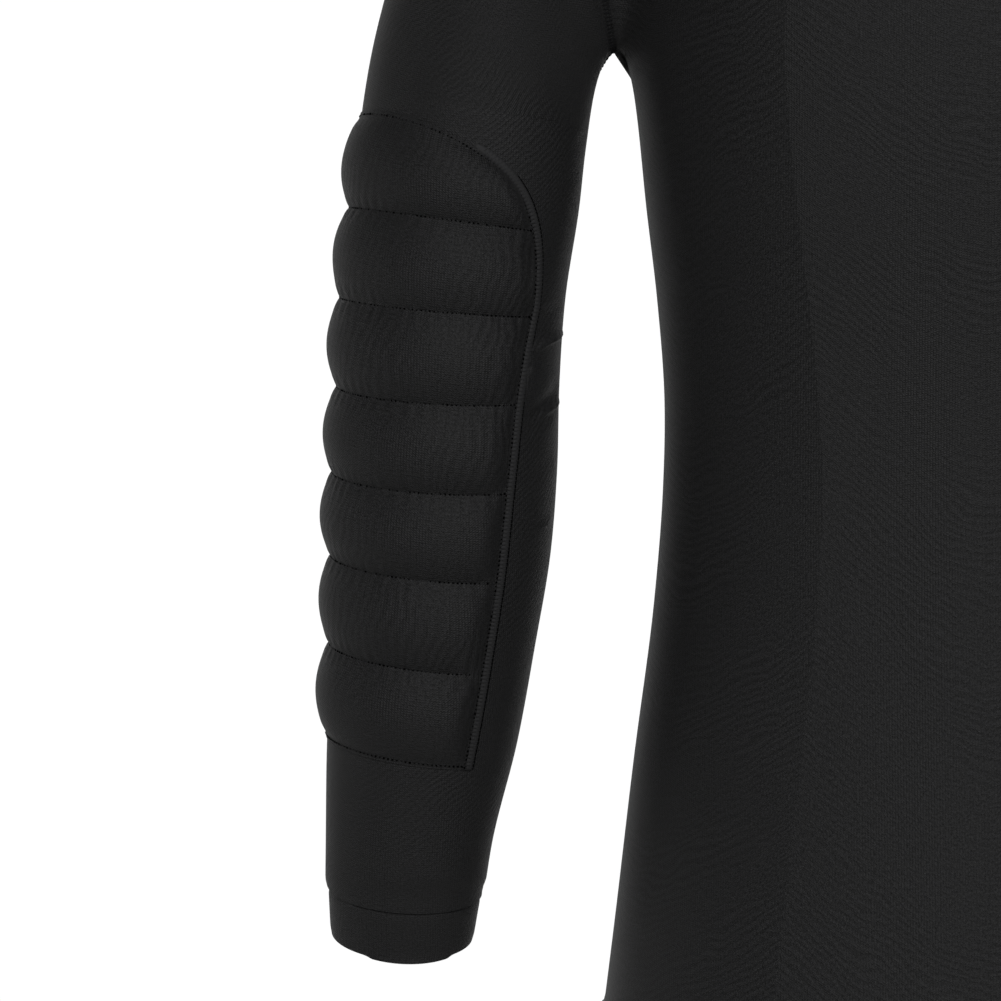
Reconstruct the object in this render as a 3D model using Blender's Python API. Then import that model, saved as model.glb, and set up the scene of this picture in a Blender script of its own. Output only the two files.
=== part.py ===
"""Padded compression shirt, in its worn form with nobody in it.

Metres, +Z up. The wearer faces -Y and the wearer's left is +X. The origin is at the base of the
neck, where the shoulders hold the shirt up. Tables and sizes below are in millimetres, and MM
turns them to metres where a mesh is made.

The cloth follows one smooth outer form: torso, arms, shoulders and neck, each worked out from a
short table or two round ends and blended where they meet. Every piece is a grid of points on that
form, given a wall inwards, and its edges stop short of its neighbours' by half a seam gap.
"""

import bmesh
import bpy
import numpy as np

MM = 0.001
CLOTH = 1.2
SEAM_GAP = 0.3
PAD_GAP = 0.45
BLEND = 30.0

# Torso sections. Columns: height, half width, depth to the front, depth to the back
TORSO = np.array([
    (-725.0, 183.0, 106.0, 123.0),
    (-650.0, 173.5, 106.0, 113.0),
    (-570.0, 164.0, 104.0, 100.0),
    (-494.0, 154.2, 100.0, 90.0),
    (-440.0, 150.0, 98.0, 87.0),
    (-398.0, 149.3, 99.0, 90.0),
    (-350.0, 152.8, 104.0, 97.0),
    (-302.0, 158.4, 111.0, 105.0),
    (-254.0, 162.8, 117.0, 111.0),
    (-230.0, 165.0, 118.0, 113.0),
    (-170.0, 165.0, 110.0, 112.0),
    (-110.0, 150.0, 88.0, 98.0),
])
TORSO_DOME = 62.0
TORSO_SQUARENESS = 2.3

# Arm sections. Columns: height, middle across, middle in depth, half width, half depth
ARM = np.array([
    (-668.0, 276.5, -64.5, 36.9, 35.5),
    (-634.0, 274.3, -51.5, 38.9, 37.0),
    (-614.0, 272.6, -46.0, 40.3, 38.5),
    (-563.0, 265.9, -34.0, 46.1, 43.5),
    (-516.0, 260.4, -24.5, 49.2, 46.5),
    (-473.0, 256.3, -16.0, 52.3, 49.0),
    (-431.0, 254.2, -8.0, 53.5, 50.0),
    (-391.0, 252.5, -1.0, 52.8, 49.5),
    (-349.0, 250.3, 4.0, 53.5, 50.0),
    (-305.0, 244.6, 6.0, 54.5, 51.5),
    (-278.0, 241.9, 6.0, 54.7, 53.0),
    (-235.0, 235.7, 5.0, 54.7, 55.0),
    (-175.0, 217.0, 3.0, 58.0, 58.0),
    (-118.0, 199.0, 2.0, 59.0, 59.0),
])
ARM_DOME = 60.0

# Round-ended forms. Columns: middle of each end, radius of each end
SHOULDER = ((45.0, 4.0, -62.0), 56.0, (190.0, 2.0, -112.0), 50.0)
NECK = ((0.0, 8.0, -70.0), 66.0, (0.0, -4.0, 60.0), 57.0)

# Cutting lines on that form
HEM_HEIGHT = -708.0
UNDERARM_HEIGHT = -244.0
SEAM_DEPTH = 2.0
ARMHOLE_PIVOT = (165.0, SEAM_DEPTH, -273.2)
ARMHOLE_LEAN = 12.0
ARMHOLE_REACH = 134.0
SLEEVE_LEAN = 81.4
SLEEVE_REACH = 75.0
SLEEVE_START = -262.0
CUFF_SEAM = -635.5
CUFF_END = -658.0
CUFF_INSET = CLOTH + SEAM_GAP
CUFF_TAPER = 1.1
NECK_HALF_WIDTH = 76.0
NECK_DEPTH_FRONT = 72.0
NECK_DEPTH_BACK = 66.0
NECK_INSIDE = -95.0
NECKBAND_HEIGHT = 18.0

# Elbow pad: place and size on the sleeve, then the height of each quilted cell from the top
PAD_TOP = -266.8
PAD_FACING = 20.0
PAD_ARCH = 81.0
PAD_ARCH_ROUNDNESS = 2.26
PAD_SHOULDER = 26.0
CELL_HEIGHTS = (46.3, 39.9, 40.5, 40.9, 41.5, 43.6, 45.7)
PAD_SEAM_HEIGHT = 1.2
PAD_CROWN = 5.3
PAD_EDGE_RUN = 14.0
# Half angle that the pad takes of the arm. Columns: distance from the pad's top, degrees
PAD_SPREAD = np.array([
    (81.0, 119.3),
    (122.0, 111.8),
    (150.0, 108.5),
    (180.0, 106.3),
    (235.0, 104.6),
    (300.0, 102.2),
])

# Grid sizes, in steps
SHOULDER_STEPS = 5
NECK_STEPS = 10
BODY_STEPS = 11
FAN_STEPS = 9
FAN_CROWDING = 1.2
PAD_ACROSS = 14
PAD_AROUND_REST = 6
FIRST_CELL_STEPS = 4
CELL_STEPS = 2
PAD_STEPS_PER_SLEEVE_STEP = 2
FOREARM_STEPS = 3
BAND_STEPS = 2
ARMHOLE_START = -90.0
EASING_PASSES = 4
EVENING_PASSES = 6

COLOURS = {
    "panel": (0.014, 0.014, 0.0145, 1.0),
    "sleeve": (0.014, 0.014, 0.0145, 1.0),
    "pad": (0.0145, 0.0145, 0.015, 1.0),
    "band": (0.013, 0.013, 0.0135, 1.0),
}


def curve(table, at):
    """Smooth curve through a table's rows at the given keys, its slopes taken from the neighbours."""
    keys, values = table[:, 0], table[:, 1:]
    slopes = np.gradient(values, keys, axis=0)
    at = np.clip(at, keys[0], keys[-1])
    row = np.clip(np.searchsorted(keys, at) - 1, 0, len(keys) - 2)
    step = (keys[row + 1] - keys[row])[..., None]
    t = (at - keys[row])[..., None] / step
    return ((1 + 2 * t) * (1 - t) ** 2 * values[row] + t * (1 - t) ** 2 * step * slopes[row]
            + t * t * (3 - 2 * t) * values[row + 1] + t * t * (t - 1) * step * slopes[row + 1])


def joined(first, second):
    """Smaller of two distances, rounded off over the blend where they are alike."""
    near = np.maximum(BLEND - np.abs(first - second), 0.0) / BLEND
    return np.minimum(first, second) - near * near * BLEND / 4


def radial(offsets, halves, power):
    """Distance, measured from the middle, to a superellipse or superellipsoid of these half sizes."""
    share = (np.abs(offsets / halves) ** power).sum(axis=-1) ** (1 / power)
    length = np.linalg.norm(offsets, axis=-1)
    return length * (1 - 1 / np.maximum(share, 1e-6))


def torso(points):
    width, front, back = np.moveaxis(curve(TORSO, points[..., 2]), -1, 0)
    rise = np.maximum(points[..., 2] - TORSO[-1, 0], 0.0)
    offsets = np.stack([points[..., 0], points[..., 1], rise], axis=-1)
    depth = np.where(points[..., 1] > 0, back, front)
    halves = np.stack([width, depth, np.full_like(width, TORSO_DOME)], axis=-1)
    return radial(offsets, halves, TORSO_SQUARENESS)


def arm(points):
    across, back, width, depth = np.moveaxis(curve(ARM, points[..., 2]), -1, 0)
    rise = np.maximum(points[..., 2] - ARM[-1, 0], 0.0)
    offsets = np.stack([points[..., 0] - across, points[..., 1] - back, rise], axis=-1)
    halves = np.stack([width, depth, np.full_like(width, ARM_DOME)], axis=-1)
    return radial(offsets, halves, 2.0)


def round_ended(points, form):
    """Distance to a cone between two balls."""
    start, start_radius, end, end_radius = form
    axis = np.subtract(end, start)
    t = np.clip((points - start) @ axis / (axis @ axis), 0.0, 1.0)
    middle = start + t[..., None] * axis
    return np.linalg.norm(points - middle, axis=-1) - (start_radius + t * (end_radius - start_radius))


def body(points):
    """Signed distance, roughly, from the cloth's outer face: below zero inside. Both sides are alike."""
    points = np.stack([np.abs(points[..., 0]), points[..., 1], points[..., 2]], axis=-1)
    trunk = joined(joined(torso(points), arm(points)), round_ended(points, SHOULDER))
    return joined(trunk, round_ended(points, NECK))


def outward(points):
    """Unit direction out of the body, from differences 0.5 mm either way."""
    steps = np.eye(3) * 0.5
    slope = np.stack([body(points + s) - body(points - s) for s in steps], axis=-1)
    return slope / np.maximum(np.linalg.norm(slope, axis=-1, keepdims=True), 1e-9)


def onto_body(points):
    """Points moved along the body's slope until they lie on its outer face."""
    steps = np.eye(3) * 0.5
    for _ in range(12):
        slope = np.stack([body(points + s) - body(points - s) for s in steps], axis=-1)
        size = np.maximum((slope ** 2).sum(axis=-1, keepdims=True), 0.1)
        move = body(points)[..., None] * slope / size
        length = np.linalg.norm(move, axis=-1, keepdims=True)
        points = points - move * np.minimum(1.0, 10.0 / np.maximum(length, 1e-9))
    return points


def leave_body(start, direction, reach=260.0):
    """Where rays from inside first leave the body: a march in 2 mm steps, then halving."""
    direction = direction / np.linalg.norm(direction, axis=-1, keepdims=True)
    marks = np.arange(2.0, reach, 2.0)
    outside = body(start[..., None, :] + marks[:, None] * direction[..., None, :]) > 0
    far = marks[np.argmax(outside, axis=-1)]
    near = far - 2.0
    for _ in range(20):
        middle = (near + far) / 2
        inside = body(start + middle[..., None] * direction) < 0
        near = np.where(inside, middle, near)
        far = np.where(inside, far, middle)
    return start + far[..., None] * direction


def vector(x, y, z):
    return np.stack(np.broadcast_arrays(x, y, z), axis=-1).astype(float)


def arm_station(height):
    """Middle of the arm at a height, and the two directions square to it: outwards, and backwards."""
    middle = curve(ARM, height)
    drift = (curve(ARM, height + 5.0) - curve(ARM, height - 5.0)) / 10.0
    centre = vector(middle[..., 0], middle[..., 1], height)
    return centre, vector(1.0, 0.0, -drift[..., 0]), vector(0.0, 1.0, -drift[..., 1])


def sleeve_points(turn, height):
    """Points of the arm at angles from its outer side towards the back, in planes square to the arm."""
    centre, outer, back = arm_station(height)
    angle = np.radians(turn)[..., None]
    unit = [d / np.linalg.norm(d, axis=-1, keepdims=True) for d in (outer, back)]
    return leave_body(centre, np.cos(angle) * unit[0] + np.sin(angle) * unit[1])


def fan_points(turn, share):
    """Points of the shoulder in planes that fan about the underarm, from armhole to square sleeve."""
    lean = np.radians(ARMHOLE_LEAN + share * (SLEEVE_LEAN - ARMHOLE_LEAN))
    reach = ARMHOLE_REACH + share * (SLEEVE_REACH - ARMHOLE_REACH)
    outer = vector(np.sin(lean), 0.0, np.cos(lean))
    centre = np.array(ARMHOLE_PIVOT) + reach[..., None] * outer
    angle = np.radians(turn)[..., None]
    return leave_body(centre, np.cos(angle) * outer + np.sin(angle) * vector(0.0, 1.0, 0.0 * share))


def pad_half_angle(distance):
    """Half the angle that the pad takes: an arch over its top, then the table."""
    share = np.clip(1 - distance / PAD_ARCH, 0.0, 1.0) ** PAD_ARCH_ROUNDNESS
    arch = PAD_SPREAD[0, 1] * (1 - share) ** (1 / PAD_ARCH_ROUNDNESS)
    return np.where(distance < PAD_ARCH, arch, curve(PAD_SPREAD, distance)[..., 0])


def pad_arch_distance(angle):
    """Distance of the arch below the pad's top at an angle from its middle."""
    share = np.clip(angle / PAD_SPREAD[0, 1], 0.0, 1.0) ** PAD_ARCH_ROUNDNESS
    return PAD_ARCH * (1 - (1 - share) ** (1 / PAD_ARCH_ROUNDNESS))


def sleeve_columns():
    """Place of each column of a sleeve: across the pad from -1 to 1, then round the rest from 0 to 1."""
    across = np.linspace(-1.0, 1.0, PAD_ACROSS + 1)
    rest = np.arange(1, PAD_AROUND_REST) / PAD_AROUND_REST
    return across, rest


def turned(half_angle):
    """Angles of a sleeve's columns where the pad takes this half angle."""
    across, rest = sleeve_columns()
    on_pad = PAD_FACING + across * half_angle
    beside = PAD_FACING + half_angle + rest * (360.0 - 2 * half_angle)
    return np.concatenate([on_pad, beside])


def sleeve_grid():
    """Outer face of the left sleeve, and the rows of it where the pad's cells begin and end."""
    across, rest = sleeve_columns()
    columns = len(across) + len(rest)
    start = ARMHOLE_START + 360.0 / columns * np.arange(columns)
    arch_half = pad_half_angle(np.array(PAD_SHOULDER))
    rows = []
    for share in (np.arange(FAN_STEPS) / FAN_STEPS) ** FAN_CROWDING:
        turn = start + share ** 2 * (turned(arch_half) - start)
        rows.append(fan_points(turn, np.full(columns, share)))
    rows.append(sleeve_points(turned(arch_half), np.full(columns, SLEEVE_START)))

    seams = [len(rows)]
    first = CELL_HEIGHTS[0]
    arch = np.concatenate([
        pad_arch_distance(np.abs(across) * arch_half), np.full(len(rest), PAD_SHOULDER)])
    for share in np.linspace(0.0, 1.0, FIRST_CELL_STEPS + 1):
        distance = arch + share * (first - arch)
        edge = np.array(PAD_SHOULDER + share * (first - PAD_SHOULDER))
        rows.append(sleeve_points(turned(pad_half_angle(edge)), PAD_TOP - distance))
    seams.append(len(rows) - 1)
    distance = first
    for cell in CELL_HEIGHTS[1:]:
        for _ in range(CELL_STEPS):
            distance += cell / CELL_STEPS
            half = pad_half_angle(np.array(distance))
            rows.append(sleeve_points(turned(half), np.full(columns, PAD_TOP - distance)))
        seams.append(len(rows) - 1)
    last = PAD_TOP - distance
    for height in np.linspace(last, CUFF_SEAM, FOREARM_STEPS + 1)[1:]:
        rows.append(sleeve_points(turned(half), np.full(columns, height)))
    return np.array(rows), seams


def cuff_grid(sleeve):
    """Outer face of the left cuff: it starts just inside the sleeve's wall and narrows to its end."""
    columns = sleeve.shape[1]
    half = pad_half_angle(np.array(sum(CELL_HEIGHTS)))
    heights = np.linspace(CUFF_SEAM, CUFF_END, BAND_STEPS + 1)
    rows = np.array([sleeve_points(turned(half), np.full(columns, h)) for h in heights])
    inset = CUFF_INSET + np.linspace(0.0, CUFF_TAPER, BAND_STEPS + 1)
    return rows - inset[:, None, None] * outward(rows)


def pad_grids(sleeve, seams):
    """Under face and quilted outer face of the left pad, made from the sleeve's points moved out."""
    first, last = seams[0], seams[-1]
    places = np.linspace(first, last, (last - first) * PAD_STEPS_PER_SLEEVE_STEP + 1)
    low = np.minimum(places.astype(int), last - 1)
    share = (places - low)[:, None, None]
    base = sleeve[:, :PAD_ACROSS + 1]
    base = (1 - share) * base[low] + share * base[low + 1]
    out = outward(base)
    cell = np.clip(np.searchsorted(seams, places, side="right") - 1, 0, len(seams) - 2)
    begin, end = np.take(seams, cell), np.take(seams, cell + 1)
    quilt = np.sin(np.pi * (places - begin) / (end - begin))
    run = np.linalg.norm(np.diff(base, axis=1), axis=-1)
    travelled = np.concatenate([np.zeros((len(places), 1)), np.cumsum(run, axis=1)], axis=1)
    inset = np.minimum(travelled, travelled[:, -1:] - travelled)
    edge = np.sqrt(1 - (1 - np.clip(inset / PAD_EDGE_RUN, 0.0, 1.0)) ** 2)
    height = PAD_SEAM_HEIGHT + PAD_CROWN * quilt[:, None] * edge
    under = base + PAD_GAP * out
    return under, under + height[..., None] * out


def neckline():
    """Ring where an upright oval tube meets the form, from the left shoulder seam over the back."""
    turn = np.radians(180.0 / NECK_STEPS * np.arange(2 * NECK_STEPS))
    depth = np.where(np.sin(turn) >= 0, NECK_DEPTH_BACK, NECK_DEPTH_FRONT)
    start = vector(NECK_HALF_WIDTH * np.cos(turn), SEAM_DEPTH + depth * np.sin(turn), NECK_INSIDE)
    return leave_body(start, vector(0.0 * turn, 0.0, 1.0))


def band_grid(edge, height, steps):
    """Rows that climb the neck from an edge, square to it, in equal steps along the form."""
    rows = [edge]
    for _ in range(steps):
        along = np.roll(rows[-1], -1, axis=0) - np.roll(rows[-1], 1, axis=0)
        climb = np.cross(outward(rows[-1]), along)
        climb /= np.linalg.norm(climb, axis=-1, keepdims=True)
        rows.append(onto_body(rows[-1] + height / steps * climb))
    return np.array(rows)


def shoulder_seam(tip, neck_point):
    """From the armhole's top to the neck, over the top of the shoulder."""
    across = np.linspace(tip[0], neck_point[0], SHOULDER_STEPS + 1)
    start = vector(across, SEAM_DEPTH, NECK_INSIDE)
    line = leave_body(start, vector(0.0 * across, 0.0, 1.0))
    line[0], line[-1] = tip, neck_point
    return line


def eased(edge):
    """Edge with its corners rounded off and its ends kept, for the rows and columns beside it."""
    for _ in range(EASING_PASSES):
        edge = np.concatenate([edge[:1], (edge[:-2] + 2 * edge[1:-1] + edge[2:]) / 4, edge[-1:]])
    return edge


def patch(bottom, top, left, right):
    """Grid filled in from its four eased edges and laid onto the body, then closed by the real edges."""
    rows, columns = len(left), len(bottom)
    t = np.linspace(0.0, 1.0, rows)[:, None, None]
    s = np.linspace(0.0, 1.0, columns)[None, :, None]
    sides = (1 - s) * eased(left)[:, None] + s * eased(right)[:, None]
    ends = (1 - t) * bottom[None] + t * eased(top)[None]
    corners = ((1 - s) * (1 - t) * bottom[0] + s * (1 - t) * bottom[-1]
               + (1 - s) * t * top[0] + s * t * top[-1])
    grid = onto_body(sides + ends - corners)
    grid[0], grid[-1], grid[:, 0], grid[:, -1] = bottom, top, left, right
    for _ in range(EVENING_PASSES):
        around = grid[:-2, 1:-1] + grid[2:, 1:-1] + grid[1:-1, :-2] + grid[1:-1, 2:]
        grid[1:-1, 1:-1] = onto_body((grid[1:-1, 1:-1] + around / 4) / 2)
    return grid


def panel_grid(armhole, neck, backwards):
    """Outer face of the front or back panel, left to right and hem to shoulder.

    Below the underarm it is level rings of the torso. Above, it is a patch between the armholes,
    the shoulder seams and its half of the neckline.
    """
    count = PAD_ACROSS + PAD_AROUND_REST
    tip = round(-ARMHOLE_START / 360.0 * count)
    underarm = tip + count // 2
    index = np.arange(underarm, tip - 1, -1) if backwards else np.arange(underarm, tip + count + 1)
    side = armhole[index % count]
    half = neck[:NECK_STEPS + 1] if backwards else neck[-np.arange(NECK_STEPS + 1)]
    seam = shoulder_seam(side[-1], half[0])
    mirror = np.array([-1.0, 1.0, 1.0])
    top = np.concatenate([seam[:-1], half, (seam * mirror)[-2::-1]])
    turn = np.radians(np.linspace(0.0, 180.0, len(top)) * (1 if backwards else -1))
    heights = np.linspace(HEM_HEIGHT, UNDERARM_HEIGHT, BODY_STEPS + 1)
    level = vector(np.cos(turn), np.sin(turn), 0.0 * turn)
    rings = [leave_body(vector(0.0 * turn, SEAM_DEPTH, height), level) for height in heights]
    left = np.concatenate([rings[-1][:1], side])
    upper = patch(rings[-1], top, left, left * mirror)
    return np.concatenate([np.array(rings), upper[1:]])


def drawn_in(grid, out, closed):
    """Grid with its edges drawn in by half a seam gap, square to each edge and along the cloth."""
    moved = grid.copy()

    def pull(edge, beside, facing):
        if closed:
            along = np.roll(edge, -1, axis=0) - np.roll(edge, 1, axis=0)
        else:
            along = np.gradient(edge, axis=0)
        inwards = np.cross(facing, along)
        inwards /= np.linalg.norm(inwards, axis=-1, keepdims=True)
        side = np.sign((inwards * (beside - edge)).sum())
        return SEAM_GAP / 2 * side * inwards

    moved[0] += pull(grid[0], grid[1], out[0])
    moved[-1] += pull(grid[-1], grid[-2], out[-1])
    if not closed:
        moved[:, 0] += pull(grid[:, 0], grid[:, 1], out[:, 0])
        moved[:, -1] += pull(grid[:, -1], grid[:, -2], out[:, -1])
    return moved


def squares(rows, columns, closed):
    """Corner numbers of a grid's squares. A closed grid joins its last column to its first."""
    index = np.arange(rows * columns).reshape(rows, columns)
    if closed:
        index = np.hstack([index, index[:, :1]])
    corners = [index[:-1, :-1], index[:-1, 1:], index[1:, 1:], index[1:, :-1]]
    return np.stack(corners, axis=-1).reshape(-1, 4)


def material(name):
    made = bpy.data.materials.new(name)
    made.use_nodes = True
    shader = made.node_tree.nodes["Principled BSDF"]
    shader.inputs["Base Color"].default_value = COLOURS[name.split("_")[0]]
    shader.inputs["Roughness"].default_value = 0.8
    shader.inputs["Metallic"].default_value = 0.0
    return made


def solid(name, outer, inner, closed, finish, holder, mirrored=False):
    """A closed wall between two like grids: outer face, inner face and the rims that join them."""
    rows, columns = outer.shape[:2]
    points = np.concatenate([outer.reshape(-1, 3), inner.reshape(-1, 3)])
    if mirrored:
        points = points * np.array([-1.0, 1.0, 1.0])
    count = rows * columns
    face = squares(rows, columns, closed)
    index = np.arange(count).reshape(rows, columns)
    if closed:
        rims = [index[0], index[-1]]
    else:
        rims = [np.concatenate([index[0], index[1:, -1], index[-1, -2::-1], index[-2:0:-1, 0]])]
    edges = [np.stack([r, np.roll(r, -1), np.roll(r, -1) + count, r + count], axis=-1) for r in rims]
    faces = np.concatenate([face, face[:, ::-1] + count] + edges)
    mesh = bpy.data.meshes.new(name)
    mesh.from_pydata((points * MM).tolist(), [], faces.tolist())
    shape = bmesh.new()
    shape.from_mesh(mesh)
    bmesh.ops.recalc_face_normals(shape, faces=shape.faces)
    shape.to_mesh(mesh)
    shape.free()
    mesh.materials.append(material(f"{finish}_{name}"))
    mesh.shade_smooth()
    mesh.set_sharp_from_angle(angle=np.radians(40.0))
    made = bpy.data.objects.new(name, mesh)
    made.parent = holder
    holder.users_collection[0].objects.link(made)


def cloth(name, grid, closed, finish, holder, mirrored=False):
    """A panel or tube of cloth with its wall inside the form."""
    out = outward(grid)
    outer = drawn_in(grid, out, closed)
    inner = drawn_in(grid - CLOTH * out, out, closed)
    solid(name, outer, inner, closed, finish, holder, mirrored)


def main():
    for old in list(bpy.data.objects):
        bpy.data.objects.remove(old, do_unlink=True)
    collection = bpy.data.collections.new("padded_compression_shirt")
    bpy.context.scene.collection.children.link(collection)
    holder = bpy.data.objects.new("worn_on_shoulders", None)
    collection.objects.link(holder)

    sleeve, seams = sleeve_grid()
    neck = neckline()
    cloth("back_panel", panel_grid(sleeve[0], neck, True), False, "panel", holder)
    cloth("front_panel", panel_grid(sleeve[0], neck, False), False, "panel", holder)
    cloth("neckband", band_grid(neck, NECKBAND_HEIGHT, BAND_STEPS), True, "band", holder)
    cuff = cuff_grid(sleeve)
    under, outer = pad_grids(sleeve, seams)
    for side, mirrored in (("left", False), ("right", True)):
        cloth(f"sleeve_{side}", sleeve, True, "sleeve", holder, mirrored)
        cloth(f"cuff_{side}", cuff, True, "band", holder, mirrored)
        solid(f"elbow_pad_{side}", outer, under, False, "pad", holder, mirrored)


main()
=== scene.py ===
"""Padded compression shirt, dressed: knit panels, quilted elbow pads, sewing, stage and camera.

The frame gives the shirt's solids. Each cloth piece here is a fine surface on the same form, worked
out from the same tables, with its creases, seams and quilting. Tables and lengths in them are in
millimetres, and MM turns them to metres where a mesh is made. +Z is up, the wearer faces -Y and
the wearer's left is +X.
"""

import math

import bmesh
import bpy
import numpy as np
from bpy.props import FloatProperty, FloatVectorProperty, PointerProperty
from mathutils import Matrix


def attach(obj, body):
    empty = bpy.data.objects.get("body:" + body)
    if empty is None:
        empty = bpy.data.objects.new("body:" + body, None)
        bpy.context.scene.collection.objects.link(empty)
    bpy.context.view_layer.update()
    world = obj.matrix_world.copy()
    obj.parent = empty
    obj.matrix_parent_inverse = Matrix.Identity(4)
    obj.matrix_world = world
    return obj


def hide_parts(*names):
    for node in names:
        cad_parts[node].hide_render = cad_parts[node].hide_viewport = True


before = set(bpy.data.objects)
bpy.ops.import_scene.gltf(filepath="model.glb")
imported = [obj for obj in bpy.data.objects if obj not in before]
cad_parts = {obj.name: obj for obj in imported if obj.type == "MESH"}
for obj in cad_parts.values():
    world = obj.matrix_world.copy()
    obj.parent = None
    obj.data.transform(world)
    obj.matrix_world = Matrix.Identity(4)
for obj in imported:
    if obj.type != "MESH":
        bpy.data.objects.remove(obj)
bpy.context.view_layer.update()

bl_info = {
    "name": "Padded Compression Shirt",
    "version": (1, 0, 0),
    "blender": (4, 5, 0),
    "location": "View3D > Sidebar > Shirt",
    "description": "Builds a worn sports shirt with quilted elbow pads, its sewing, stage and camera",
    "category": "Add Mesh",
}

MM = 0.001
SIDES = (("left", 1.0), ("right", -1.0))
MIRROR = np.array([-1.0, 1.0, 1.0])

# Form of the worn shirt, as in its solids
CLOTH = 1.2
BLEND = 30.0

# Torso sections. Columns: height, half width, depth to the front, depth to the back
TORSO = np.array([
    (-725.0, 183.0, 106.0, 123.0),
    (-650.0, 173.5, 106.0, 113.0),
    (-570.0, 164.0, 104.0, 100.0),
    (-494.0, 154.2, 100.0, 90.0),
    (-440.0, 150.0, 98.0, 87.0),
    (-398.0, 149.3, 99.0, 90.0),
    (-350.0, 152.8, 104.0, 97.0),
    (-302.0, 158.4, 111.0, 105.0),
    (-254.0, 162.8, 117.0, 111.0),
    (-230.0, 165.0, 118.0, 113.0),
    (-170.0, 165.0, 110.0, 112.0),
    (-110.0, 150.0, 88.0, 98.0),
])
TORSO_DOME = 62.0
TORSO_SQUARENESS = 2.3

# Arm sections. Columns: height, middle across, middle in depth, half width, half depth
ARM = np.array([
    (-668.0, 276.5, -64.5, 36.9, 35.5),
    (-634.0, 274.3, -51.5, 38.9, 37.0),
    (-614.0, 272.6, -46.0, 40.3, 38.5),
    (-563.0, 265.9, -34.0, 46.1, 43.5),
    (-516.0, 260.4, -24.5, 49.2, 46.5),
    (-473.0, 256.3, -16.0, 52.3, 49.0),
    (-431.0, 254.2, -8.0, 53.5, 50.0),
    (-391.0, 252.5, -1.0, 52.8, 49.5),
    (-349.0, 250.3, 4.0, 53.5, 50.0),
    (-305.0, 244.6, 6.0, 54.5, 51.5),
    (-278.0, 241.9, 6.0, 54.7, 53.0),
    (-235.0, 235.7, 5.0, 54.7, 55.0),
    (-175.0, 217.0, 3.0, 58.0, 58.0),
    (-118.0, 199.0, 2.0, 59.0, 59.0),
])
ARM_DOME = 60.0

# Round-ended forms. Columns: middle of each end, radius of each end
SHOULDER = ((45.0, 4.0, -62.0), 56.0, (190.0, 2.0, -112.0), 50.0)
NECK = ((0.0, 8.0, -70.0), 66.0, (0.0, -4.0, 60.0), 57.0)

# Cutting lines on that form
HEM_HEIGHT = -708.0
UNDERARM_HEIGHT = -244.0
SEAM_DEPTH = 2.0
ARMHOLE_PIVOT = (165.0, SEAM_DEPTH, -273.2)
ARMHOLE_LEAN = 12.0
ARMHOLE_REACH = 134.0
SLEEVE_LEAN = 81.4
SLEEVE_REACH = 75.0
SLEEVE_SHIFT = 3.9
SLEEVE_SEAM_ANGLE = 232.0
CUFF_SEAM = -635.5
CUFF_END = -658.0
CUFF_INSET = 1.5
CUFF_TAPER = 1.1
SLEEVE_END_DRAW = 1.1
SLEEVE_END_RUN = 6.5
CUFF_PINCH = 0.8
NECK_HALF_WIDTH = 76.0
NECK_DEPTH_FRONT = 72.0
NECK_DEPTH_BACK = 66.0
NECK_INSIDE = -95.0
NECKBAND_HEIGHT = 18.0
FOLD_INSET = 0.45
FOLD_ROWS = 1.2

# Elbow pad on the sleeve, and the height of each quilted cell from the top
PAD_TOP = -266.8
PAD_FACING = 20.0
PAD_ARCH = 81.0
PAD_ARCH_ROUNDNESS = 2.26
PAD_SHOULDER = 26.0
PAD_COVER_START = 11.6
PAD_COVER_WIDTH = 4.6
PAD_COVER_MIDDLE = 0.9
PAD_COVER_TAPER = 9.0
PAD_COVER_HEIGHT = 1.15
CELL_HEIGHTS = (46.3, 39.9, 40.5, 40.9, 41.5, 43.6, 45.7)
PAD_GAP = 0.15
# Half angle that the pad takes of the arm. Columns: distance from the pad's top, degrees
PAD_SPREAD = np.array([
    (81.0, 119.3),
    (122.0, 111.8),
    (150.0, 108.5),
    (180.0, 106.3),
    (235.0, 104.6),
    (300.0, 102.2),
])

# Quilted relief: the sewn margin, roundness of swells and edges, and the puckers' place beside a
# seam, their fade to the margin, their shift from cell to cell and the strength of their drift
MARGIN_HEIGHT = 0.45
MARGIN_RISE = 5.0
SWELL_ROUNDNESS = 0.85
EDGE_ROUNDNESS = 0.9
PUCKER_PLACE = 3.0
PUCKER_REACH = 3.2
PUCKER_FADE = 6.0
PUCKER_SHIFT = 2.6
PUCKER_DRIFT = 1.4
# How the puckers drift along a seam. Columns: length of a swing, shift from cell to cell
PUCKER_SWINGS = ((17.0, 2.1), (7.3, 1.0))

# Rings of a stitch. Columns: place along its half, width and rise as shares of the radius
STITCH_RINGS = ((-1.0, 0.4, -0.9), (-0.6, 1.0, 0.1), (0.6, 1.0, 0.1), (1.0, 0.4, -0.9))

# Stitches of the pad, as shares of a stitch's length and radius or of the sewn margin
PAD_STITCH_PLACE = 0.62
PAD_STITCH_LIFT = 0.05
STITCH_UNEVEN = 0.3
# The needle holes are painted shade: short near-black pieces between the stitches, laid where a hole's
# shade falls
HOLE_SHADE_WIDTH = 1.5
HOLE_SHADE_GAP = 0.55
HOLE_SHADE_UNEVEN = 0.45

# Bulky thread that swings over the pad's cord, and the painted shadow line beside it: a thin dark band
# where the sleeve's cloth falls in shade
COVER_PITCH = 1.9
COVER_SWING = 0.4
COVER_THREAD = 0.36
COVER_LIFT = 1.1
COVER_FIRST_POINT = 4
SHADOW_WIDTH = 0.9
SHADOW_HEIGHT = 0.16
SHADOW_ASIDE = 0.2
SHADOW_TAPER = 30.0

# Section of a low band: places across its half width, and depth that it is sunk into the cloth
TAPE_SHARES = (-1.0, -0.86, -0.45, 0.0, 0.45, 0.86, 1.0)
TAPE_SUNK = 0.3

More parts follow.
